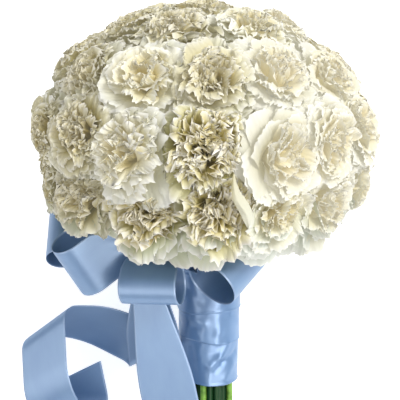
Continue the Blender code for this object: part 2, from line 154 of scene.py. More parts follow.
# One long petal lies folded over its neighbours: where its claw and its tip are, its half width,
# how high the fold stands, and how far it bows outwards
FOLDED_PETAL = ((0.016, -0.1385, -0.006), (0.0262, -0.1245, -0.048))
FOLDED_HALF = 0.0047
FOLDED_HEIGHT = 0.0035
FOLDED_BOW = 0.0058
FOLDED_RIPPLE = 0.001
FOLDED_SWAY = 0.0024
FOLDED_TONES = (0.3, 0.1)
FOLDED_GRID = (34, 25)

# Petal finishes: name, where each colour lies from the claw out to the margin, the colours, and
# how strong and what colour the petals glow: a painted glow that stands in for light coming
# through them. Whiter blooms have the later ones.
# The darkest colours paint shade deep in a bloom's crevices; the white last ones are partly the margin's
# own colour and partly a painted highlight along the rims.
STOPS = (0.0, 0.18, 0.38, 0.58, 0.8, 0.93, 1.0)
DEEP_STOPS = (0.0, 0.14, 0.36, 0.58, 0.8, 0.93, 1.0)
DEEP = ("#352d12", "#756a34", "#c6bc7c", "#e0d8ae", "#ebe6cd", "#f5f2e8", "#ffffff")
CREAM = ("#5c5424", "#8f8443", "#c0b680", "#d8d2b8", "#dedac5", "#e5e2d4", "#f4f2e8")
BRIGHT = ("#8f8548", "#b9ae6c", "#d8cfa2", "#e1dcca", "#e6e3d5", "#ecebe2", "#f6f5ee")
WHITE = ("#a39a56", "#c4ba80", "#d6cfae", "#d3cebc", "#d5d1c2", "#d9d7cc", "#e7e6de")
PETAL_FINISHES = (
    ("deep_cream_carnation_petal", DEEP_STOPS, DEEP, 0.03, "#e0d3a4"),
    ("cream_carnation_petal", STOPS, CREAM, 0.08, "#e4ddc2"),
    ("bright_white_carnation_petal", STOPS, BRIGHT, 0.11, "#e9e6d2"),
    ("soft_white_carnation_petal", STOPS, WHITE, 0.2, "#efede2"),
)
FINISH_STEPS = (0.15, 0.65, 0.85)
# How far from the heart the painted shade deep in a bloom reaches
PAINTED_SHADE_DEPTH = 0.017

# Calyxes, with how wide each is at a share of its length, and stems
CALYX_TOP = 0.012
CALYX_FOOT = 0.04
CALYX_RADIUS = 0.0075
CALYX_FORM = ((0, 1.12), (0.12, 1.0), (0.35, 0.95), (0.6, 0.9), (0.8, 0.82), (0.93, 0.68), (1.0, 0.5))
STEM_RADIUS = 0.0024
STEM_SPACING = 0.0053
STEM_STEPS = 12
STEM_INTO_CALYX = 0.002
STEM_BEND = 0.008
STEM_DROP = 0.006
STEM_INTO_TAPE = 0.012
STEM_INTO_WRAP = 0.01
BUNDLE_TOP = -0.088
BUNDLE_FOOT = -0.2
BUNDLE_TOP_RADIUS = 0.0232
BUNDLE_FOOT_RADIUS = 0.021
STEM_END = -0.243
STEM_END_SPREAD = 1.04
STEM_END_JITTER = 0.003
CUT_EDGE = 0.9
CUT_BULGE = 0.00002
CUT_MIDDLE = 0.0001
# How light each stem is below the wrap, kept dark at random steps as painted shade under the wrap,
# and where the palest stand, whose light tone is a painted highlight
PAINTED_SHADE_STEM_TONES = (0.25, 0.15, 0.05, 0.2, 0.1, 0.12, 0.06, 0.12)
PAINTED_HIGHLIGHT_STEMS = (-0.003, 0.018)

# Ribbon wrap of the handle: where each turn laps over the next, and how far it slants. The edge of
# a lap stands up at once and fades out above, with a bead along it. Hem and bead are ridges: how
# wide and how high.
WRAP_TOP = -0.0945
WRAP_FOOT = -0.201
WRAP_FOOT_SWAY = 0.0012
WRAP_LAPS = (-0.1106, -0.1405, -0.1654)
WRAP_SLANT = (0.001, -0.001, 0.0022)
WRAP_LAP_SWAY = 0.0006
WRAP_LINING = 0.0026
WRAP_STEP = 0.0008
WRAP_STEP_RISE = 0.0005
WRAP_STEP_FADE = 0.016
WRAP_BEAD_ABOVE = 0.0008
WRAP_BEAD = (0.0007, 0.00035)
WRAP_HEM = (0.0009, 0.0006)
WRAP_EDGE = (0.0014, 0.0003)
WRAP_RADIUS = 0.0235
WRAP_GRID = (176, 160)
WRAP_SEED = 5
# Its folds as seen from the front, in millimetres: each from one spot to another (round the
# handle, height), with its width and height. Then the loose ones: how many, how far round they
# lie, how far they run round and up, their widths and heights, and how far round is in front.
WRAP_FOLDS = (
    (15, -168.5, 8.5, -177.5, 3.4, 1.3),
    (8.5, -177.5, 1, -185, 3.6, 1.3),
    (1, -185, -0.5, -200, 3.6, 0.8),
    (25, -176.5, 11, -182.5, 3, -1.3),
    (11, -182.5, 5, -188, 2.8, -0.9),
    (22, -186, 14, -196, 3.6, 0.8),
    (-27, -144, -4, -148, 3, 0.8),
    (-29, -152, -8, -154, 3.2, -0.8),
    (6, -144, 7.5, -156, 4, 0.8),
    (7.5, -156, 6, -164, 3.6, 0.8),
    (-12, -156, -10, -165, 4.2, -0.7),
    (18, -144, 28, -150, 3.4, 0.7),
    (-15, -170, -12, -196, 4, -0.8),
    (-26, -168, -22, -190, 3.6, 0.8),
    (4, -118, 7, -133, 4.4, 0.8),
    (-22, -118, -7, -130, 4, -0.8),
)
LOOSE_FOLDS = 30
LOOSE_REACH = 0.075
LOOSE_RUN = (0.006, 0.022)
LOOSE_RISE = 0.008
LOOSE_WIDTHS = (0.0024, 0.0044)
LOOSE_HEIGHTS = (-0.0006, 0.0007)
WRAP_FRONT = 0.03

# The ribbon of the bow
RIBBON_WIDTH = 0.046
RIBBON_THICKNESS = 0.0006
LAYER_SPACING = 0.0026
GATHERED = 0.0055
GATHER_STEP = 0.003
GATHER_PLEATS = 4.5
GATHER_PLEAT = 0.0007
NARROWING = 0.55
# Where each end is held: the place, the way its edge runs there, and how far it is drawn in
HOLDS = {
    "front": ((-0.038, -0.053, -0.082), (1, 0, 0), 0.015),
    "left_front": ((-0.0462, -0.041, -0.085), (0, 0, -1), 0.034),
    "left_back": ((-0.0468, -0.035, -0.085), (0, 0, -1), 0.036),
    "right": ((-0.0125, -0.041, -0.086), (0, 0.3, 0.95), 0.013),
    "below_front": ((-0.036, -0.041, -0.0951), (1, 0, 0), 0.022),
    "below_back": ((-0.034, -0.0345, -0.0938), (1, 0, 0), 0.026),
}
# Loops: the tip, the way there, how it rolls, the tip's radius, the length and the hold
LOOPS = {
    "bow_loop_centre": ((-0.044, -0.0705, -0.119), (270, 12), -17, 0.0135, 0.04, "front"),
    "bow_loop_left_front": ((-0.111, -0.05, -0.0975), (209, 1), 20, 0.015, 0.063, "left_front"),
    "bow_loop_left_back": ((-0.13, -0.008, -0.08), (176, 4), -52, 0.011, 0.088, "left_back"),
    "bow_loop_right": ((0.029, -0.046, -0.11), (311, 0), 39, 0.0215, 0.048, "right"),
}
# Tails: the start, the way, how it rolls, its bends, its length, the slant of its cut end, the
# hold, and how far it is folded narrower. A bend is where, how far, on what radius, how slanted.
CURL = (
    (0.082, -176, 0.006, -33), (0.13, -40, 0.055, -24), (0.186, -110, 0.009, -27),
    (0.234, -44, 0.04, -20), (0.288, -190, 0.017, 8),
)
TAILS = {
    "tail_front": (
        (-0.054, -0.04, -0.095), (281, -4), -8, ((0.146, -40, 0.025, 0),), 0.186, 39, "below_front", 0.112,
    ),
    "tail_curl": (
        (-0.049, -0.032, -0.097), (273, -16.5), -14, CURL, 0.374, 39, "below_back", 0.075,
    ),
}
RIBBON_ROW = 0.003
RIBBON_COLUMNS = 20

# The knot: a short piece of the ribbon drawn tight round the middle of the bow, its neck, and the
# band that ties it to the handle
KNOT_MIDDLE = (-0.0278, -0.04, -0.086)
KNOT_LENGTH = 0.0335
KNOT_RADIUS = 0.009
KNOT_PINCH = 0.2
NECK_MIDDLE = (-0.0168, -0.0302, -0.0975)
NECK_RADIUS = 0.008
NECK_HEIGHT = 0.013
BAND_TOP = -0.0955
BAND_WIDTH = 0.011
BAND_LIFT = 0.0044
BAND_CROWN = 0.0007
BAND_FOLD = 0.0003
BAND_GRID = (16, 144)
KNOT_PLEATS = 7
PLEAT_GRID = (24, 72)

# Tape that binds the stems
TAPE_TOP = -0.112
TAPE_WIDTH = 0.013
TAPE_THICKNESS = 0.0008
TAPE_TURNS = 3
TAPE_GRID = (24, 144)

# The studio: how bright it is away from and towards its brightest way, for matt and for glossy
# surfaces, and its lamps. Two only show as gloss, a little warm, as paper umbrellas do.
FLOOR_REACH = 3.0
STUDIO_BRIGHT_WAY = (0.5, 0.05, 0.84)
STUDIO_STRENGTH = (0.4, 0.97)
STUDIO_GLOSS = (0.12, 0.8)
LAMPS = (
    ("key", (0.55, 0.2, 1.1), (0.0, 0.05, 0.1), (0.35, 0.35), 6.5, "#ffffff", False),
    ("sheen", (0.42, -0.65, 0.83), (0.0, -0.05, 0.08), (1.0, 0.5), 12, "#fff1e4", True),
    ("side", (-0.75, -0.5, 0.53), (0.0, -0.05, 0.08), (0.9, 0.6), 6, "#fff1e4", True),
)

# The camera: its angle above the table, how far off it is, how wide its view is there, and how
# far its middle lies to the left of the head's middle and below it
VIEW_ELEVATION = 75.7
VIEW_DISTANCE = 1.0
VIEW_WIDTH = 0.32
VIEW_LEFT = 0.0024
VIEW_DOWN = 0.051
SENSOR = 36


def linear(code):
    """A colour from its sRGB hex value."""
    parts = [int(code[k : k + 2], 16) / 255 for k in (1, 3, 5)]
    return [c / 12.92 if c <= 0.04045 else ((c + 0.055) / 1.055) ** 2.4 for c in parts] + [1]


def fill(node, inputs):
    """Inputs of a node: each is fed by another node's output, or set to a plain value."""
    for name, source in inputs.items():
        if hasattr(source, "links"):
            node.id_data.links.new(source, node.inputs[name])
        else:
            node.inputs[name].default_value = source


def add(tree, kind, inputs, output=0, **settings):
    """One of the outputs of a new node with its inputs and settings."""
    node = tree.nodes.new(kind)
    for name, value in settings.items():
        setattr(node, name, value)
    fill(node, inputs)
    return node.outputs[output]


def new_material(name):
    """An empty material with its nodes and its Principled shader."""
    made = bpy.data.materials.new(name)
    made.use_nodes = True
    return made, made.node_tree, made.node_tree.nodes["Principled BSDF"]


def petal_material(name, stops, codes, painted_glow, painted_glow_code):
    """Fresh carnation petals: thin and matt, greenish yellow where they narrow, cream over the
    fan and nearly white along the toothed margin, with fine veins that fan out. The colour also
    holds painted shade deep in a bloom and a painted highlight along the rims. A painted glow,
    given off by the petals themselves, stands in for the light that comes through them from
    behind and keeps their folds warm."""
    made, tree, shader = new_material(name)
    tone = add(tree, "ShaderNodeAttribute", {}, attribute_name="tone")
    parts = add(tree, "ShaderNodeSeparateColor", {"Color": tone}).node.outputs
    grown = add(tree, "ShaderNodeValToRGB", {"Fac": parts["Red"]})
    elements = grown.node.color_ramp.elements
    while len(elements) < len(stops):
        elements.new(0.5)
    for element, place, code in zip(elements, stops, codes):
        element.position, element.color = place, linear(code)
    # The inner petals of a bloom are tinted cream, the outer ones a little green
    tints = {0: parts["Blue"], 6: linear("#c6d6cf"), 7: linear("#fcefb0")}
    tint = add(tree, "ShaderNodeMix", tints, 2, data_type="RGBA")
    layers = {0: parts["Green"], 6: grown, 7: tint}
    colour = add(tree, "ShaderNodeMix", layers, 2, data_type="RGBA", blend_type="MULTIPLY")
    place = add(tree, "ShaderNodeUVMap", {}, uv_map="petal")
    # Veins are about 1 mm apart near the margin: 34 across a petal and long along it
    stretch = add(tree, "ShaderNodeMapping", {"Vector": place, "Scale": (34, 2.5, 1)})
    veins = add(tree, "ShaderNodeTexNoise", {"Vector": stretch, "Scale": 1.0, "Detail": 2.0})
    bump = add(tree, "ShaderNodeBump", {"Height": veins, "Strength": 0.35, "Distance": 0.0006})
    fill(shader, {"Base Color": colour, "Normal": bump, "Roughness": 0.62})
    fill(shader, {"Specular IOR Level": 0.35, "Sheen Weight": 0.12, "Sheen Roughness": 0.4})
    # Painted light: the petals glow, standing in for light that comes through them
    fill(shader, {"Emission Strength": painted_glow, "Emission Color": linear(painted_glow_code)})
    return made


def satin_material(name, face, weft, roughness, shine=0.8):
    """Polyester satin ribbon: long floats of warp thread give the shiny side its soft broad
    highlight, the back is duller. Threads are 0.2 mm apart, drawn here 0.5 mm so that they show.
    Dyed thread also tints what it reflects, so a quarter of the shine is metallic."""
    made, tree, shader = new_material(name)
    place = add(tree, "ShaderNodeUVMap", {}, uv_map="ribbon")
    across = add(tree, "ShaderNodeMapping", {"Vector": place, "Scale": (2000, 90, 1)})
    threads = add(tree, "ShaderNodeTexNoise", {"Vector": across, "Scale": 1.0, "Detail": 1.0})
    cloudy = add(tree, "ShaderNodeMapping", {"Vector": place, "Scale": (60, 30, 1)})
    clouds = add(tree, "ShaderNodeTexNoise", {"Vector": cloudy, "Scale": 1.0, "Detail": 2.0})
    mixed = add(tree, "ShaderNodeMath", {0: threads, 1: 0.35, 2: clouds}, operation="MULTIPLY_ADD")
    share = add(tree, "ShaderNodeMapRange", {"Value": mixed, "From Min": 0.45, "From Max": 0.95})
    colours = {0: share, 6: linear(face), 7: linear(weft)}
    colour = add(tree, "ShaderNodeMix", colours, 2, data_type="RGBA")
    bump = add(tree, "ShaderNodeBump", {"Height": threads, "Strength": 0.05, "Distance": 0.0002})
    along = add(tree, "ShaderNodeTangent", {}, direction_type="UV_MAP", uv_map="ribbon")
    fill(shader, {"Base Color": colour, "Normal": bump, "Tangent": along, "Anisotropic": 0.5})
    fill(shader, {"Roughness": roughness, "Specular IOR Level": shine, "Metallic": 0.26, "IOR": 1.57})
    return made


def stem_material(name, light, dark, roughness):
    """Carnation stems and calyxes: smooth green skin, streaked along. A thin waxy bloom over it
    keeps its shine low."""
    made, tree, shader = new_material(name)
    tone = add(tree, "ShaderNodeAttribute", {}, attribute_name="tone")
    shade = add(tree, "ShaderNodeSeparateColor", {"Color": tone}, "Red")
    place = add(tree, "ShaderNodeTexCoord", {}, "Object")
    streaks = add(tree, "ShaderNodeTexNoise", {"Vector": place, "Scale": 220.0, "Detail": 3.0})
    share = add(tree, "ShaderNodeMath", {0: shade, 1: streaks}, operation="MULTIPLY")
    lift = add(tree, "ShaderNodeMapRange", {"Value": share, "From Min": 0.05, "From Max": 0.55})
    colours = {0: lift, 6: linear(dark), 7: linear(light)}
    colour = add(tree, "ShaderNodeMix", colours, 2, data_type="RGBA")
    bump = add(tree, "ShaderNodeBump", {"Height": streaks, "Strength": 0.25, "Distance": 0.0004})
    fill(shader, {"Base Color": colour, "Normal": bump})
    fill(shader, {"Roughness": roughness, "Specular IOR Level": 0.2})
    return made


def tape_material():
    """Green crepe-paper stem tape, waxed so that it sticks to itself: fine crinkles 0.4 mm apart."""
    made, tree, shader = new_material("waxed_crepe_tape")
    place = add(tree, "ShaderNodeTexCoord", {}, "Object")
    crinkle = add(tree, "ShaderNodeTexNoise", {"Vector": place, "Scale": 1600.0, "Detail": 2.0})
    colours = {0: crinkle, 6: linear("#4f6b3e"), 7: linear("#7c9a63")}
    colour = add(tree, "ShaderNodeMix", colours, 2, data_type="RGBA")
    bump = add(tree, "ShaderNodeBump", {"Height": crinkle, "Strength": 0.4, "Distance": 0.0003})
    fill(shader, {"Base Color": colour, "Normal": bump, "Roughness": 0.7})
    return made


def laid_down(points):
    """Points of the upright bouquet where they lie on the table."""
    matrix = np.array(LAID)
    return points @ matrix[:3, :3].T + matrix[:3, 3]


def mesh_piece(name, points, faces, materials, which=None, tones=None, uv=None):
    """A smooth piece from points of the upright bouquet. Faces are rows of four corner numbers;
    which gives each face's material, tones a colour and uv a named place for each point."""
    mesh = bpy.data.meshes.new(name)
    mesh.from_pydata(laid_down(np.asarray(points).reshape(-1, 3)).tolist(), [], faces.tolist())
    for one in materials:
        mesh.materials.append(one)
    if which is not None:
        mesh.polygons.foreach_set("material_index", which.astype(np.int32))
    if tones is not None:
        layer = mesh.color_attributes.new("tone", "FLOAT_COLOR", "POINT")
        layer.data.foreach_set("color", np.asarray(tones, dtype=np.float32).ravel())
    if uv is not None:
        label, places = uv
        layer = mesh.uv_layers.new(name=label)
        places = np.asarray(places, dtype=np.float32).reshape(-1, 2)
        layer.data.foreach_set("uv", places[faces.ravel()].ravel())
    mesh.shade_smooth()
    piece = bpy.data.objects.new(name, mesh)
    bpy.context.scene.collection.objects.link(piece)
    return piece


def smooth_step(share):
    """From 0 to 1, with level ends."""
    share = np.clip(share, 0, 1)
    return share * share * (3 - 2 * share)


def bloom_places():
    """Where each bloom stands: the heart that its petals spread from, and the way it faces."""
    draw = random.Random(PLACE_SEED)
    places = []
    for count, from_crown, turn in BLOOM_ROWS:
        for k in range(count):
            angle = from_crown + draw.uniform(-1, 1) * PLACE_JITTER * (count > 1)
            slack = PLACE_JITTER / max(math.sin(math.radians(angle)), 0.3)
            round_it = math.radians(360 * k / count + turn + draw.uniform(-1, 1) * slack)
            tilt = HEAD_TILT * math.cos(round_it - math.radians(HEAD_TILT_WAY))
            down = math.radians(angle + tilt * (from_crown / BLOOM_ROWS[-1][1]) ** 2)
            out, height = HEAD_RADIUS * math.sin(down), HEAD_HEIGHT * math.cos(down)
            top = Vector((out * math.cos(round_it) + HEAD_SHIFT, out * math.sin(round_it), height))
            facing = (top - Vector((HEAD_SHIFT, 0, BLOOM_FOCUS))).normalized()
            places.append((top - facing * HEART_DEPTH, facing))
    return places


def bloom_nature(index):
    """How far a bloom has opened, how far it stands out, and how white it is."""
    draw = random.Random(PLACE_SEED * 7 + index)
    drawn = (draw.uniform(0.3, 0.9), draw.uniform(0.2, 0.8), draw.uniform(0.35, 0.95))
    return BLOOMS.get(index + 1, drawn)


def cell_walls(index, places):
    """Planes that a bloom's petals bend against: first halfway to each neighbour, then the table
    and the ribbon below. Each is a direction and how far it lies from the heart."""
    heart = places[index][0]
    neighbours, firm = [], []
    forward = bloom_nature(index)[1]
    for number, (other, _) in enumerate(places):
        apart = other - heart
        if 0 < apart.length < NEIGHBOUR:
            way = apart.normalized()
            gain = STANDS_OUT * (forward - bloom_nature(number)[1])
            neighbours.append((heart + apart / 2 + way * gain, way))
    down = Matrix.Rotation(math.radians(90 - LEAN), 3, "X") @ Vector((0, 0, -1))
    firm.append((down * HEAD_MIDDLE[2], down))
    for spot, against, near in PRESSED:
        if (heart - Vector(spot)).length < near:
            firm.append((Vector(spot), Vector(against).normalized()))
    found = []
    for walls in (neighbours, firm):
        ways = np.array([way for _, way in walls])
        depths = np.array([(spot - heart).dot(way) for spot, way in walls])
        found.append((ways, depths))
    return found


def dome_reach(heart, directions, share):
    """How far the head's round outline, at some share of its size, lies from a heart."""
    reach = np.zeros(directions.shape[:-1])
    for size in (DOME, DOME_BELOW):
        spot = heart / size / share[..., None]
        way = directions / size / share[..., None]
        a, b, c = (way * way).sum(-1), (way * spot).sum(-1), (spot * spot).sum(-1) - 1
        far = (np.sqrt(np.maximum(b * b - a * c, 0)) - b) / a
        above = heart[2] + directions[..., 2] * far > 0
        reach = np.where(above == (size is DOME), far, reach)
    return reach


def unit(way):
    """A direction, one long."""
    return way / np.linalg.norm(way)


def dome_share(heart, spots):
    """The outline's size at some spots: it bulges over the bloom's middle and has its dents."""
    ways = spots / np.linalg.norm(spots, axis=-1)[..., None]
    off = (1 - ways @ unit(heart)) / (1 - math.cos(math.radians(BLOOM_SPAN)))
    share = 1 + BULGE[0] - BULGE[1] * np.minimum(off, 1.6)
    for dent, depth, wide in DENTS:
        off = (1 - ways @ unit(dent)) / (1 - math.cos(math.radians(wide)))
        share = share - depth * np.exp(-off)
    return share


def grid_faces(rows, columns, closed=False, flipped=False):
    """Faces between rows of points. A closed grid also joins the two ends of each row."""
    steps = np.arange(columns if closed else columns - 1)
    row, k = np.meshgrid(np.arange(rows - 1), steps, indexing="ij")
    a, b = row * columns + k, row * columns + (k + 1) % columns
    corners = [a, a + columns, b + columns, b] if flipped else [a, b, b + columns, a + columns]
    return np.stack(corners, -1).reshape(-1, 4)


def room(heart, directions, walls, overlap):
    """How far a petal can reach in each direction from the heart: a little over its neighbours,
    but not past the table or out of the head's round outline."""
    limits = []
    for ways, depths in walls:
        closing = directions @ ways.T
        free = depths / np.maximum(closing, TINY)
        limits.append(np.where(closing > TINY, free, NO_WALL).min(-1))
    heart = np.array(heart) - (HEAD_SHIFT, 0, 0)
    dome = dome_reach(heart, directions, np.ones(directions.shape[:-1]))
    share = dome_share(heart, heart + directions * dome[..., None])
    # Each petal has its own share of the outline, so that the head's edge is ragged
    ragged = 0.93 + 0.12 * (overlap % 0.04) / 0.04
    dome = dome_reach(heart, directions, share) * ragged
    return np.minimum(np.minimum(limits[0] * overlap, limits[1]), dome)


def petal_plan(draw, low_row, openness):
    """Every petal of a bloom: way round, angle from the face, and then as in the rings."""
    plan = []
    for count, angle, reach, half, curl, waves, frill in PETAL_RINGS + (GUARD_RING,) * low_row:
        start = draw.uniform(0, 2 * math.pi)
        opened = angle * (0.84 + 0.24 * openness) if angle < 60 else angle
        for k in range(count):
            drawn = [draw.uniform(*spread) for spread in RING_SPREAD]
            plan.append([
                start + 2 * math.pi * (k + drawn[0]) / count,
                math.radians(opened + drawn[1]),
                reach * drawn[2],
                half * drawn[3] * (0.9 + 0.25 * openness),
                curl * drawn[4],
                waves * drawn[5] * (1.15 - 0.35 * openness),
                frill * drawn[6] * (1.2 - 0.55 * openness),
            ])
    return np.array(plan).T[..., None, None]


def folded_up(heart, frame, walls, overlap, round_it, angle, reach):
    """Angles of the petals, folded up towards the face where the tip has no room, and the way to
    each tip."""
    for _ in range(FOLD_UP_STEPS):
        out = np.sin(angle)
        tip = np.stack([out * np.cos(round_it), out * np.sin(round_it), np.cos(angle)], -1) @ frame
        short = room(heart, tip, walls, overlap) < FOLD_UP_BELOW * reach
        short = short & (angle > FOLD_UP_LEAST) & (reach < LONG_PETAL)
        angle = np.where(short, angle - FOLD_UP_STEP, angle)
    return angle, tip


def middle_line(u, reach, angle):
    """The line down the middle of a petal: out of the calyx, along the face's direction, then
    outwards. Gives how far out and up it is, and the way it runs."""
    tip_out, tip_up = reach * np.sin(angle), reach * np.cos(angle)
    bend_out = 0.16 * tip_out + CLAW_BEND_OUT
    bend_up = np.maximum(0.32 * tip_up, 0) + CLAW_BEND_UP
    out = 2 * u * (1 - u) * bend_out + u * u * tip_out + (1 - u) ** 2 * CLAW_OUT
    rise = 2 * u * (1 - u) * bend_up + u * u * tip_up - (1 - u) ** 2 * CLAW_DEPTH
    run_out = 2 * (1 - u) * (bend_out - CLAW_OUT) + 2 * u * (tip_out - bend_out)
    run_up = 2 * (1 - u) * (bend_up + CLAW_DEPTH) + 2 * u * (tip_up - bend_up)
    run = np.hypot(run_out, run_up)
    return out, rise, run_out / run, run_up / run


def crumpled(draw, points, amount):
    """Points moved by soft waves, so that neighbouring petals crumple together."""
    for _ in range(CRUMPLE_WAVES):
        way, push = draw.normal(0, 1, (2, 3))
        wave = 2 * math.pi / draw.uniform(*CRUMPLE_LENGTHS)
        sway = np.sin(points @ (unit(way) * wave) + draw.uniform(0, ROUND))
        points = points + (sway * amount)[..., None] * unit(push)
    return points


def pressed_in(heart, points, walls, overlap):
    """Points of petals that bend softly against what is around them, and how long each was."""
    length = np.linalg.norm(points, axis=-1)
    ways = points / np.maximum(length, 1e-6)[..., None]
    pressed = length / (room(heart, ways, walls, overlap) * 0.99)
    eased = SOFT_FROM + (1 - SOFT_FROM) * np.tanh((pressed - SOFT_FROM) / (1 - SOFT_FROM))
    shrunk = np.where(pressed > SOFT_FROM, eased / np.maximum(pressed, 1e-6), 1)
    return points * shrunk[..., None], length


def petal_tones(draw, rows, length, angle, whiteness, skirt):
    """Tones: how far out on the petal, how deep in the bloom for its painted shade, how much
    tinted, and how near the bloom's middle."""
    # Painted shade: the tone is lowered deep in the bloom, near its heart, most in the creamiest blooms.
    # The steep rise at the margin is partly a painted highlight along the rims.
    deepest_painted_shade = 0.14 + 0.61 * min(whiteness / 0.3, 1)
    whiteness = whiteness + (0.7 - whiteness) * skirt
    margin = rows ** (2.6 - 1.6 * whiteness)
    margin = margin * (deepest_painted_shade + (1 - deepest_painted_shade) * smooth_step((length - PAINTED_SHADE_DEPTH) / PAINTED_SHADE_DEPTH))
    margin = margin * (1 - 0.08 * draw.random((len(angle), 1, PETAL_COLUMNS)))
    inner = np.cos(np.minimum(angle, math.pi / 2)) ** 1.5
    tint = 0.62 - 0.5 * whiteness + 0.25 * draw.random(angle.shape)
    tint = tint + (1 - tint) * 0.6 * inner * whiteness
    tones = np.ones(margin.shape + (4,))
    tones[..., 0] = margin
    tones[..., 1] = (tint + (1 - tint) * skirt) * (1 - 0.8 * rows**8)
    tones[..., 2] = inner * (1 - skirt)
    return tones


def petals_of_bloom(index, places, low_row):
    """Points of all petals of one bloom, with their tones and places on the petal."""
    heart, facing = places[index]
    walls = cell_walls(index, places)
    draw = np.random.default_rng(PLACE_SEED * 100 + index)
    openness, forward, whiteness = bloom_nature(index)
    round_it, angle, reach, half, curl, waves, frill = petal_plan(draw, low_row, openness)
    each, fringe = angle.shape, (len(angle), 1, PETAL_COLUMNS)
    turn_by = [math.radians(draw.uniform(-FACE_TURN, FACE_TURN)) for _ in range(2)]
    side = facing.orthogonal().normalized()
    facing = (facing + side * turn_by[0] + facing.cross(side) * turn_by[1]).normalized()
    side = facing.orthogonal().normalized()
    frame = np.array([side, facing.cross(side), facing])
    overlap = OVERLAP[0] + (OVERLAP[1] - OVERLAP[0]) * draw.random(each) ** 1.6 + 0.05 * forward
    angle, tip = folded_up(heart, frame, walls, overlap, round_it, angle, reach)

    # Petals that hang below the head are broader, smoother and greener than the rest
    skirt = smooth_step((-tip[..., 2] - 0.35) / 0.4) * low_row
    openness = openness + (1 - openness) * skirt
    half, waves, frill = half * (1 + 0.2 * skirt), waves * (1 - 0.3 * skirt), frill * (1 - 0.2 * skirt)

    rows = np.array(PETAL_ROWS)[None, :, None]
    columns = np.linspace(-1, 1, PETAL_COLUMNS)[None, None, :]
    u = rows * (1 - 0.17 * columns**2 * rows)
    spread = np.clip((rows - 0.48) / 0.52, 0, 1) ** 1.6
    out, rise, run_out, run_up = middle_line(u, reach, angle)

    # Frills grow towards the margin, and fold over at their crests
    start, drift = draw.uniform(0, ROUND, each), draw.uniform(0, ROUND, each)
    phase = math.pi * waves * columns + 1.1 * np.sin(2.1 * columns + drift) + start
    ripple = math.pi * draw.uniform(8.5, 12.5, each) * columns
    ripple = ripple + 1.3 * np.sin(3.1 * columns + start) + drift * 3
    fine_frill = FINE_FRILL * (1.15 - 0.75 * openness) * (1 - 0.45 * np.sin(angle))
    crests = np.sin(phase) + 0.12 * np.sin(3 * phase)
    lift = spread * frill * crests + fine_frill * spread**2 * np.sin(ripple)
    broad = draw.normal(0, BROAD_WAVE, each)
    lift = lift + broad * rows * np.sin(2.4 * columns + drift * 2) - curl * spread**1.3
    shift = -0.4 * frill * spread * np.sin(2 * phase)
    leaning = draw.normal(0, LEANING, each)

    # Teeth along the margin
    tooth = draw.uniform(0.2, 1.0, fringe) * np.where(np.arange(PETAL_COLUMNS) % 2, 1, -1)
    edge = np.where(rows == 1, 1.0, np.where(rows > 0.9, 0.2, 0.0))
    forward = TOOTH * edge * tooth + spread * draw.normal(0, TOOTH_JITTER, fringe)

    # A petal is curved across, round the bloom's middle line
    width = half * (0.08 + 0.92 * smooth_step((rows - 0.1) / 0.66) ** 0.85)
    bow = 0.75 * out + LEAST_BOW
    turn = np.clip(columns * width / bow, -1.9, 1.9)
    off_side = run_out * forward - run_up * lift
    radial = out + bow * (np.cos(turn) - 1) + off_side * np.cos(turn)
    beside = bow * np.sin(turn) + off_side * np.sin(turn) + shift + leaning * reach * rows**2
    height = rise + run_up * forward + run_out * lift
    cos, sin = np.cos(round_it), np.sin(round_it)
    points = np.stack([radial * cos - beside * sin, radial * sin + beside * cos, height], -1)
    points = crumpled(draw, points @ frame, CRUMPLE * (1.3 - 0.7 * openness) * spread)
    points, length = pressed_in(heart, points, walls, overlap)
    tones = petal_tones(draw, rows, length, angle, whiteness, skirt)
    uv = np.stack(np.broadcast_arrays(columns / 2 + 0.5, rows, height)[:2], -1)
    return points + np.array(heart), tones, uv


def petal_faces(petals):
    """Faces of a number of petals."""
    steps = np.arange(petals)[:, None, None] * len(PETAL_ROWS) * PETAL_COLUMNS
    return (grid_faces(len(PETAL_ROWS), PETAL_COLUMNS) + steps).reshape(-1, 4)


def make_blooms(places, finishes):
    """Every bloom with its ruffled petals."""
    first_low = len(places) - BLOOM_ROWS[-1][0]
    for index in range(len(places)):
        points, tones, uv = petals_of_bloom(index, places, index >= first_low)
        name = f"bloom_{index + 1:02d}"
        finish = finishes[sum(bloom_nature(index)[2] > step for step in FINISH_STEPS)]
        faces = petal_faces(len(points))
        piece = mesh_piece("petals_" + name, points, faces, [finish], tones=tones, uv=("petal", uv))
        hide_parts(name)
        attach(piece, "root")


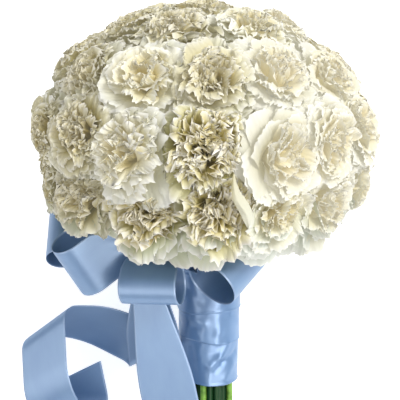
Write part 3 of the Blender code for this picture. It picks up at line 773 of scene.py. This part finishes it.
def make_folded_petal(finish):
    """The long petal in front that lies folded along its middle over the blooms around it."""
    rows, columns = FOLDED_GRID
    along, across = np.linspace(0, 1, rows)[:, None], np.linspace(-1, 1, columns)[None, :]
    claw, tip = (np.array(spot) for spot in FOLDED_PETAL)
    out = unit((claw + tip) / 2 * (1, 1, 0))
    side = unit(np.cross(tip - claw, out))
    half = FOLDED_HALF * np.sin(math.pi * (0.03 + 0.87 * along**1.25)) ** 0.8
    fold = FOLDED_HEIGHT * (1 - np.abs(across - 0.35) ** 1.2) * half / FOLDED_HALF
    ripple = FOLDED_RIPPLE * np.abs(across) * along * np.sin(15 * along + 2.2 * across)
    lift = FOLDED_BOW * np.sin(math.pi * along) + fold + ripple
    beside = half * across + FOLDED_SWAY * np.sin(5.6 * along) + 0.5 * ripple
    down = along + 0.03 * across * np.sin(8 * across) * along**3
    points = claw + down[..., None] * (tip - claw) + beside[..., None] * side + lift[..., None] * out
    tones = np.ones(points.shape[:-1] + (4,))
    # From the claw to the tip the tone grows lighter; on the half past the fold's middle it is darker, as
    # painted shade.
    tones[..., 0] = 0.5 + 0.45 * along - 0.2 * np.maximum(across, 0)
    tones[..., 1:3] = FOLDED_TONES
    uv = np.stack(np.broadcast_arrays(across / 2 + 0.5, along), -1)
    faces = grid_faces(rows, columns)
    piece = mesh_piece("folded_petal", points, faces, [finish], tones=tones, uv=("petal", uv))
    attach(piece, "root")


def stem_spots(places):
    """Where each stem stands in the bundle, as in the model."""
    steps = range(-6, 7)
    spots = [
        Vector((STEM_SPACING * (a + b / 2 + 0.13), STEM_SPACING * (b * math.sqrt(0.75) + 0.07)))
        for a in steps
        for b in steps
    ]
    spots.sort(key=lambda spot: spot.length)
    found, start = [], 0
    for count, _, _ in BLOOM_ROWS:
        row = range(start, start + count)
        by_angle = sorted(spots[start : start + count], key=lambda s: math.atan2(s.y, s.x))
        order = sorted(row, key=lambda i: math.atan2(places[i][0].y, places[i][0].x))
        found += [spot for _, spot in sorted(zip(order, by_angle))]
        start += count
    return found


def turned(route, radii, sides, ribs=0.0):
    """Points of a round form along a route, and its faces. It can have five ribs, which stand out
    by a share of its radius."""
    points = []
    for k, (point, radius) in enumerate(zip(route, radii)):
        before, after = route[max(k - 1, 0)], route[min(k + 1, len(route) - 1)]
        along = (after - before).normalized()
        side = along.cross(Vector((0.31, 0.95, 0.05))).normalized()
        up = along.cross(side)
        for j in range(sides):
            angle = 2 * math.pi * j / sides
            reach = radius * (1 + ribs * math.cos(5 * angle))
            points.append(point + reach * (side * math.cos(angle) + up * math.sin(angle)))
    return points, grid_faces(len(route), sides, closed=True)


class Heap:
    """Many small forms gathered into one piece."""

    def __init__(self):
        self.points, self.faces, self.tones = [], [], []

    def put(self, form, tone):
        """One more form; its tone is how light its green is."""
        points, faces = form
        self.faces.append(faces + len(self.points))
        self.points += points
        self.tones += [(tone, 0, 0, 1)] * len(points)

    def piece(self, name, material):
        """The piece that all the forms make."""
        return mesh_piece(name, self.points, np.concatenate(self.faces), [material], tones=self.tones)


def curve_through(spots, count):
    """Points along a smooth curve that starts and ends along its first and last legs."""
    spots = [Vector(s) for s in spots]
    last = len(spots) - 1
    found = []
    for k in range(count):
        share = k / (count - 1) * last
        leg = min(int(share), last - 1)
        t = share - leg
        p0, p1, p2, p3 = (spots[min(max(leg + step, 0), last)] for step in (-1, 0, 1, 2))
        square = (2 * p0 - 5 * p1 + 4 * p2 - p3) * t * t
        cube = (3 * p1 - p0 - 3 * p2 + p3) * t**3
        found.append(0.5 * (2 * p1 + (p2 - p0) * t + square + cube))
    return found


def make_stems(places, green, pale):
    """Ribbed calyxes, the stems down to the binding, and the cut ends below the wrap."""
    draw = random.Random(PLACE_SEED + 1)
    heap, cuts = Heap(), Heap()
    for (heart, facing), spot in zip(places, stem_spots(places)):
        top = heart - facing * CALYX_TOP
        foot = heart - facing * CALYX_FOOT
        route = [top.lerp(foot, share) for share, _ in CALYX_FORM]
        tone = draw.uniform(0.45, 1.0)
        heap.put(turned(route, [CALYX_RADIUS * size for _, size in CALYX_FORM], 20, 0.05), tone)
        bend = foot - facing * STEM_BEND - Vector((0, 0, STEM_DROP))
        entry = Vector((spot.x, spot.y, BUNDLE_TOP))
        lower = Vector((spot.x, spot.y, BUNDLE_TOP - STEM_INTO_TAPE))
        route = curve_through([foot + facing * STEM_INTO_CALYX, bend, entry, lower], STEM_STEPS)
        thick = [STEM_RADIUS * (1.25 if k < 2 else 1) for k in range(STEM_STEPS)]
        heap.put(turned(route, thick, 10), tone * draw.uniform(0.7, 1.0))
        cut = STEM_END + draw.uniform(-1, 1) * STEM_END_JITTER
        end = Vector((spot.x * STEM_END_SPREAD, spot.y * STEM_END_SPREAD, cut))
        high = Vector((spot.x, spot.y, BUNDLE_FOOT + STEM_INTO_WRAP))
        # Below the wrap the tones are painted shade, and the palest stems a painted highlight
        tone = draw.choice(PAINTED_SHADE_STEM_TONES)
        if min(abs(spot.x - highlight_at) for highlight_at in PAINTED_HIGHLIGHT_STEMS) < STEM_SPACING / 3:
            tone = 1.0
        route = [high.lerp(end, share) for share in (0, 0.3, 0.6, 0.9, 0.99, 1.0)]
        wide = STEM_RADIUS * draw.uniform(0.98, 1.12)
        heap.put(turned(route, [wide] * 5 + [wide * CUT_EDGE], 12), tone)
        face = [end, end + (end - high).normalized() * CUT_BULGE]
        cuts.put(turned(face, [wide * CUT_EDGE, CUT_MIDDLE], 12), 0.8)
    piece = heap.piece("stems_and_calyxes", green)
    ends = cuts.piece("cut_stem_ends", pale)
    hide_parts("stems")
    for one in (piece, ends):
        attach(one, "root")


def handle_radius(height):
    """Radius of the bundle of stems at a height."""
    share = (height - BUNDLE_TOP) / (BUNDLE_FOOT - BUNDLE_TOP)
    return BUNDLE_TOP_RADIUS + (BUNDLE_FOOT_RADIUS - BUNDLE_TOP_RADIUS) * share


def folds_of_wrap():
    """The folds seen in front, and gentler ones all the way round: start, end, width, height."""
    draw = random.Random(WRAP_SEED)
    folds = [np.array(fold) / 1000 for fold in WRAP_FOLDS]
    for _ in range(LOOSE_FOLDS):
        x, z = draw.uniform(-LOOSE_REACH, LOOSE_REACH), draw.uniform(WRAP_FOOT, WRAP_TOP)
        end = (x + draw.uniform(*LOOSE_RUN), z + draw.uniform(-LOOSE_RISE, LOOSE_RISE))
        height = draw.uniform(*LOOSE_HEIGHTS) * (1 if abs(x) > WRAP_FRONT else 0.5)
        folds.append(np.array((x, z, *end, draw.uniform(*LOOSE_WIDTHS), height)))
    return [(fold[:2], fold[2:4], fold[4], fold[5]) for fold in folds]


def ridge(off, width, height):
    """Height of a soft ridge at a distance off its middle."""
    return height * np.exp(-((off / width) ** 2))


def around_handle(reach, angle, height):
    """Points round the handle's middle line."""
    return np.stack([reach * np.cos(angle), reach * np.sin(angle), height], -1)


def make_wrap(satin):
    """The ribbon wound round the handle: each turn laps over the one below, with the creases that
    winding a flat ribbon round a cone gives."""
    rows, around = WRAP_GRID
    angle = np.linspace(0, 2 * math.pi, around, endpoint=False)[None, :]
    share = np.linspace(0, 1, rows + 1)[:, None]
    front = (angle + math.pi / 2 + math.pi) % (2 * math.pi) - math.pi
    z = WRAP_TOP + (WRAP_FOOT - WRAP_TOP) * share + 0 * angle
    z = z + WRAP_FOOT_SWAY * np.sin(2 * angle + 0.6) * share**8
    radius = handle_radius(z) + WRAP_LINING + ridge(z - WRAP_FOOT, *WRAP_HEM)
    for lap, slant in zip(WRAP_LAPS, WRAP_SLANT):
        edge = lap - slant * np.sin(front) + WRAP_LAP_SWAY * np.sin(3 * angle + lap * 900)
        above = z - edge
        fade = np.exp(-np.maximum(above, 0) / WRAP_STEP_FADE)
        step = WRAP_STEP * fade * smooth_step(above / WRAP_STEP_RISE)
        radius = radius + step + ridge(above - WRAP_BEAD_ABOVE, *WRAP_BEAD) * (above > 0)
    spots = np.stack([front * WRAP_RADIUS + 0 * z, z], -1)
    for start, end, width, height in folds_of_wrap():
        along = end - start
        place = np.clip(((spots - start) @ along) / (along @ along), 0, 1)
        off = np.linalg.norm(spots - start - place[..., None] * along, axis=-1)
        radius = radius + ridge(off, width, height)
    points = around_handle(radius, angle, z)
    # The lowest edge is turned in, so that the ribbon has a thickness there
    turned_in = points[-1:].copy()
    turned_in[..., :2] *= (1 - WRAP_EDGE[0] / radius[-1])[:, None]
    turned_in[..., 2] += WRAP_EDGE[1]
    uv = np.stack([z, angle * WRAP_RADIUS + 0 * z], -1)
    points, uv = np.concatenate([points, turned_in]), np.concatenate([uv, uv[-1:]])
    faces = grid_faces(rows + 2, around, closed=True, flipped=True)
    piece = mesh_piece("handle_ribbon_wrap", points, faces, [satin], uv=("ribbon", uv))
    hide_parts("handle_wrap")
    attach(piece, "root")


def pleated(middle, way, length, radius, pinch):
    """A closed bundle of pleats round a line, drawn in at its ends: points, places and faces."""
    rows, sides = PLEAT_GRID
    way = Vector(way)
    side = way.orthogonal().normalized()
    share = np.linspace(0, 1, rows + 1)[:, None]
    angle = np.linspace(0, 2 * math.pi, sides + 1)[None, :]
    end = np.abs(2 * share - 1)
    full = np.sqrt(1 - end**6) * (1 - pinch * end**2)
    pleat = np.sin(KNOT_PLEATS * angle + 2.2 * np.sin(1.7 * share + angle))
    soft = 0.25 * np.sin(3 * angle + 5 * share)
    reach = radius * full * (0.95 + 0.05 * (0.8 * pleat + soft))
    along = (share - 0.5) * length + 0 * angle
    spots = np.stack([along, reach * np.cos(angle), reach * np.sin(angle)], -1)
    spots = spots @ np.array([way, side, way.cross(side)]) + middle
    places = np.stack([angle * radius + 0 * share, along], -1)
    return spots.reshape(-1, 3), places.reshape(-1, 2), grid_faces(rows + 1, sides + 1, flipped=True)


def knot_band():
    """The folded band of ribbon round the handle that holds the knot."""
    rows, sides = BAND_GRID
    across = np.linspace(0, 1, rows + 1)[:, None]
    angle = np.linspace(0, 2 * math.pi, sides + 1)[None, :]
    crown = BAND_CROWN * np.sqrt(np.abs(np.sin(math.pi * across)))
    fold = BAND_FOLD * np.sin(5 * math.pi * across + 1.2 * np.sin(2 * angle))
    height = BAND_TOP - BAND_WIDTH * across + 0 * angle
    reach = handle_radius(height) + BAND_LIFT + crown + fold
    places = np.stack([across * BAND_WIDTH + 0 * angle, angle * reach], -1).reshape(-1, 2)
    points = around_handle(reach, angle, height).reshape(-1, 3)
    return points, places, grid_faces(rows + 1, sides + 1, flipped=True)


def make_knot(satin):
    """The knot and its neck, drawn into fine pleats, and the band."""
    parts = (
        pleated(KNOT_MIDDLE, (1, 0, 0), KNOT_LENGTH, KNOT_RADIUS, KNOT_PINCH),
        pleated(NECK_MIDDLE, (0, 0, 1), NECK_HEIGHT, NECK_RADIUS, 0.0),
        knot_band(),
    )
    points, uv = (np.concatenate([part[k] for part in parts]) for k in (0, 1))
    starts = np.cumsum([0] + [len(part[0]) for part in parts])
    faces = np.concatenate([part[2] + start for part, start in zip(parts, starts)])
    piece = mesh_piece("satin_knot", points, faces, [satin], uv=("ribbon", uv))
    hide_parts("bow_knot")
    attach(piece, "root")


def make_tape(tape):
    """Stretched tape wound three times round the stems, under the ribbon."""
    rows, sides = TAPE_GRID
    across = np.arange(rows + 1)[:, None] / rows
    share = np.arange(sides)[None, :] / sides
    height = TAPE_TOP - TAPE_WIDTH * across + 0 * share
    turns = (TAPE_TURNS * across + share) % 1
    reach = handle_radius(height) + TAPE_THICKNESS * (0.55 + 0.45 * turns)
    points = around_handle(reach, 2 * math.pi * share, height)
    faces = grid_faces(rows + 1, sides, closed=True, flipped=True)
    piece = mesh_piece("stem_tape", points, faces, [tape])
    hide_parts("binding_tape")
    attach(piece, "root")


def heading(turn, forward):
    """A direction: turned from +X towards +Z, then towards the front."""
    turn, forward = math.radians(turn), math.radians(forward)
    flat = math.cos(forward)
    return Vector((math.cos(turn) * flat, -math.sin(forward), math.sin(turn) * flat))


def width_axis(along, roll):
    """Direction across a strip that runs along a heading, with its shiny side to the front."""
    front = Vector((0, -1, 0))
    front = (front - along * front.dot(along)).normalized()
    roll = math.radians(roll)
    return front.cross(along) * math.cos(roll) - front * math.sin(roll)


def bend_strip(before, turn, radius, slant):
    """How the rest of a strip moves when a length of it is rolled onto a cylinder."""
    crease = Vector((math.sin(slant), math.cos(slant), 0))
    ahead = Vector((math.cos(slant), -math.sin(slant), 0))
    corner = Vector((before, 0, 0))
    rise = math.copysign(radius * (1 - math.cos(turn)), turn)
    bent = corner + ahead * radius * math.sin(abs(turn)) + Vector((0, 0, rise))
    back = Matrix.Translation(-corner - ahead * radius * abs(turn))
    return Matrix.Translation(bent) @ Matrix.Rotation(-turn, 4, crease) @ back


class Strip:
    """A flat strip of ribbon, bent along straight creases and drawn together at the knot."""

    def __init__(self, start, along, across, bends, length, hold):
        turned_by = Matrix((along, across, along.cross(across))).transposed().to_4x4()
        self.frame = Matrix.Translation(start) @ turned_by
        self.bends = [(b, math.radians(t), r, math.radians(s)) for b, t, r, s in bends]
        self.length = length
        self.cut = 0
        self.narrowed = 0
        self.hold = hold
        self.held_ends = 1

    def place(self, along, across):
        """The strip's middle layer at a distance along it and across it, and its normal."""
        frame = self.frame
        for before, turn, radius, slant in self.bends:
            into = (along - before) * math.cos(slant) - across * math.sin(slant)
            if into <= 0:
                break
            done = min(into / radius, abs(turn))
            frame = frame @ bend_strip(before, math.copysign(done, turn), radius, slant)
        return frame @ Vector((along, across, 0)), frame.to_3x3() @ Vector((0, 0, 1))

    def half_width(self, mark):
        """Half the width of the strip, which may be folded narrower towards its held end."""
        if mark < self.narrowed:
            return RIBBON_WIDTH / 2 * (1 - NARROWING * smooth_step(1 - mark / self.narrowed))
        return RIBBON_WIDTH / 2

    def middle_row(self, away):
        """Midway between the held layers: the middle, half the width, and half the gap there."""
        half = self.half_width(away)
        middle, _ = self.place(away, 0)
        side, _ = self.place(away, half)
        side, gap = side - middle, 0
        if self.held_ends == 2:
            other, _ = self.place(self.length - away, 0)
            middle, gap = (middle + other) / 2, (middle - other).length / 2
        spot, line, reach = self.hold
        drawn = smooth_step(1 - away / reach)
        gap += LAYER_SPACING / 2 * drawn * (self.held_ends - 1)
        return middle.lerp(Vector(spot), drawn), side.lerp(Vector(line) * GATHERED, drawn), gap

    def held(self, away, end, share, height):
        """A point of the ribbon where it is drawn together towards its hold, in small pleats."""
        middle, side, gap = self.middle_row(away)
        after, _, _ = self.middle_row(min(away + GATHER_STEP, self.hold[2]))
        before, _, _ = self.middle_row(max(away - GATHER_STEP, 0))
        normal = (after - before).cross(side).normalized()
        drawn = smooth_step(1 - away / self.hold[2])
        pleat = GATHER_PLEAT * drawn * math.sin(GATHER_PLEATS * math.pi * share)
        return middle + side * share + normal * (gap + height + pleat) * (-1 if end else 1)

    def point(self, mark, slant, share, height):
        """A point of the ribbon beside a mark, -1 to 1 across it and off its middle layer."""
        for end in range(self.held_ends):
            away = abs(mark - end * self.length)
            if away < self.hold[2]:
                return self.held(away, end, share, height)
        across = share * self.half_width(mark)
        point, normal = self.place(mark + across * slant, across)
        return point + normal * height


def make_ribbon(name, strip, finishes):
    """A thin strip of ribbon, shiny in front and duller behind, with its woven edges."""
    count = max(2, round(strip.length / RIBBON_ROW))
    shares = np.linspace(-1, 1, RIBBON_COLUMNS + 1)
    # The rows of points lie closer together near the woven edges
    shares = [math.sin(math.pi / 2 * share) * 0.35 + share * 0.65 for share in shares]
    points, uv = [], []
    for side in (1, -1):
        for k in range(count + 1):
            mark = strip.length * k / count
            slant = math.tan(strip.cut) * (mark / strip.length) ** 12
            for share in shares:
                rolled = RIBBON_THICKNESS / 2 * (1 - 0.6 * abs(share) ** 14)
                points.append(strip.point(mark, slant, share, side * rolled))
                uv.append((share * RIBBON_WIDTH / 2, mark))
    columns = RIBBON_COLUMNS + 1
    back = (count + 1) * columns
    front = grid_faces(count + 1, columns, flipped=True)
    woven_edge = front[:, 0] % columns % (RIBBON_COLUMNS - 1) == 0
    row, k = np.arange(count) * columns, np.arange(RIBBON_COLUMNS)
    long_side = np.stack([row, row + back, row + back + columns, row + columns], 1)
    short_side = np.stack([k, k + 1, k + 1 + back, k + back], 1)
    # Each of these has its opposite: the back, the other long side and the cut end
    pairs = ((front, back), (long_side, RIBBON_COLUMNS), (short_side, count * columns))
    faces = np.concatenate([one for near, step in pairs for one in (near, near[:, ::-1] + step)])
    which = [np.where(woven_edge, 2, side) for side in (0, 1)]
    which = np.concatenate(which + [np.full(2 * count, 2), np.zeros(2 * RIBBON_COLUMNS)])
    uv = ("ribbon", uv)
    piece = mesh_piece("satin_" + name, points, faces, finishes, which=which, uv=uv)
    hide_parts(name)
    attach(piece, "root")


def make_loop(name, tip, way, roll, radius, length, hold, finishes):
    """A loop of ribbon shaped like a drop, with both ends at the knot."""
    out = heading(*way)
    across = width_axis(out, roll)
    lift = out.cross(across)
    spread = math.asin(radius / (length - radius))
    run = radius / math.tan(spread)
    start = Vector(tip) - out * length
    turn = -180 - 2 * math.degrees(spread)
    whole = 2 * run + radius * math.radians(-turn)
    along = out * math.cos(spread) + lift * math.sin(spread)
    strip = Strip(start, along, across, [(run, turn, radius, 0)], whole, HOLDS[hold])
    strip.held_ends = 2
    make_ribbon(name, strip, finishes)


def make_tail(name, start, way, roll, bends, length, cut, hold, narrowed, finishes):
    """A loose end of the ribbon, cut off at a slant."""
    out = heading(*way)
    strip = Strip(start, out, width_axis(out, roll), bends, length, HOLDS[hold])
    strip.cut = math.radians(cut)
    strip.narrowed = narrowed
    make_ribbon(name, strip, finishes)


def make_floor():
    """A pale table lit from within, as for product photographs, so that shadows stay faint."""
    mesh = bpy.data.meshes.new("table_top")
    far = FLOOR_REACH
    mesh.from_pydata([(-far, -far, 0), (far, -far, 0), (far, far, 0), (-far, far, 0)], [], [(0, 1, 2, 3)])
    opal, _, shader = new_material("opal_light_table")
    fill(shader, {"Base Color": linear("#f7f7f7"), "Roughness": 0.9})
    fill(shader, {"Emission Color": linear("#ffffff"), "Emission Strength": 0.65})
    mesh.materials.append(opal)
    floor = bpy.data.objects.new("table_top", mesh)
    bpy.context.scene.collection.objects.link(floor)


def soft_box(name, place, target, size, power, code, gloss_only):
    """A studio softbox that shines from one place towards another, or only shows as gloss."""
    light = bpy.data.lights.new(name, "AREA")
    light.shape = "RECTANGLE"
    light.size, light.size_y = size
    light.energy = power
    light.color = linear(code)[:3]
    lamp = bpy.data.objects.new(name, light)
    lamp.location = place
    lamp.rotation_euler = (Vector(target) - Vector(place)).to_track_quat("-Z", "Y").to_euler()
    lamp.visible_diffuse = not gloss_only
    bpy.context.scene.collection.objects.link(lamp)


def make_light():
    """Soft studio light that is brightest from above right, and the lamps. Gloss sees the studio
    darker than matt things do, as between the lamps of a real one."""
    world = bpy.data.worlds.new("studio")
    world.use_nodes = True
    tree = world.node_tree
    way = add(tree, "ShaderNodeTexCoord", {}, "Generated")
    ways = {0: way, 1: STUDIO_BRIGHT_WAY}
    towards = add(tree, "ShaderNodeVectorMath", ways, "Value", operation="DOT_PRODUCT")
    strengths = {0: add(tree, "ShaderNodeLightPath", {}, "Is Glossy Ray")}
    for socket, (low, high) in ((2, STUDIO_STRENGTH), (3, STUDIO_GLOSS)):
        limits = {"Value": towards, "From Min": -0.6, "From Max": 1.0, "To Min": low, "To Max": high}
        strengths[socket] = add(tree, "ShaderNodeMapRange", limits)
    strength = add(tree, "ShaderNodeMix", strengths)
    fill(tree.nodes["Background"], {"Color": linear("#fafaff"), "Strength": strength})
    bpy.context.scene.world = world
    for lamp in LAMPS:
        soft_box(*lamp)


def make_camera():
    """The photograph's view: from above, with the head away from the viewer."""
    data = bpy.data.cameras.new("camera")
    camera = bpy.data.objects.new("camera", data)
    bpy.context.scene.collection.objects.link(camera)
    elevation = math.radians(VIEW_ELEVATION)
    middle = LAID @ Vector((HEAD_SHIFT, 0, 0))
    ahead = Vector((0, math.cos(elevation), -math.sin(elevation)))
    right = Vector((1, 0, 0))
    up = right.cross(ahead)
    camera.location = middle - ahead * VIEW_DISTANCE - right * VIEW_LEFT - up * VIEW_DOWN
    camera.rotation_euler = ahead.to_track_quat("-Z", "Y").to_euler()
    data.sensor_width = SENSOR
    data.lens = SENSOR * VIEW_DISTANCE / VIEW_WIDTH
    bpy.context.scene.camera = camera


def main():
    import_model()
    bpy.context.scene.view_settings.view_transform = "Standard"
    make_camera()
    places = bloom_places()
    petals = [petal_material(*finish) for finish in PETAL_FINISHES]
    make_blooms(places, petals)
    make_folded_petal(petals[1])
    green = stem_material("carnation_stem", "#86b84c", "#103f1c", 0.45)
    pale = stem_material("cut_stem", "#d6e3a0", "#a9c27c", 0.7)
    make_stems(places, green, pale)
    shiny = satin_material("satin_face", "#7395ba", "#6a8cb4", 0.42)
    dull = satin_material("satin_back", "#6f90b5", "#6788af", 0.5, 0.5)
    selvedge = satin_material("satin_selvedge", "#8ba6c6", "#819dc0", 0.48, 0.5)
    wound = satin_material("satin_wound_tight", "#7094bd", "#668cb7", 0.4)
    make_tape(tape_material())
    make_wrap(wound)
    make_knot(dull)
    finishes = (shiny, dull, selvedge)
    for name, loop in LOOPS.items():
        make_loop(name, *loop, finishes)
    for name, tail in TAILS.items():
        make_tail(name, *tail, finishes)
    make_floor()
    make_light()


main()
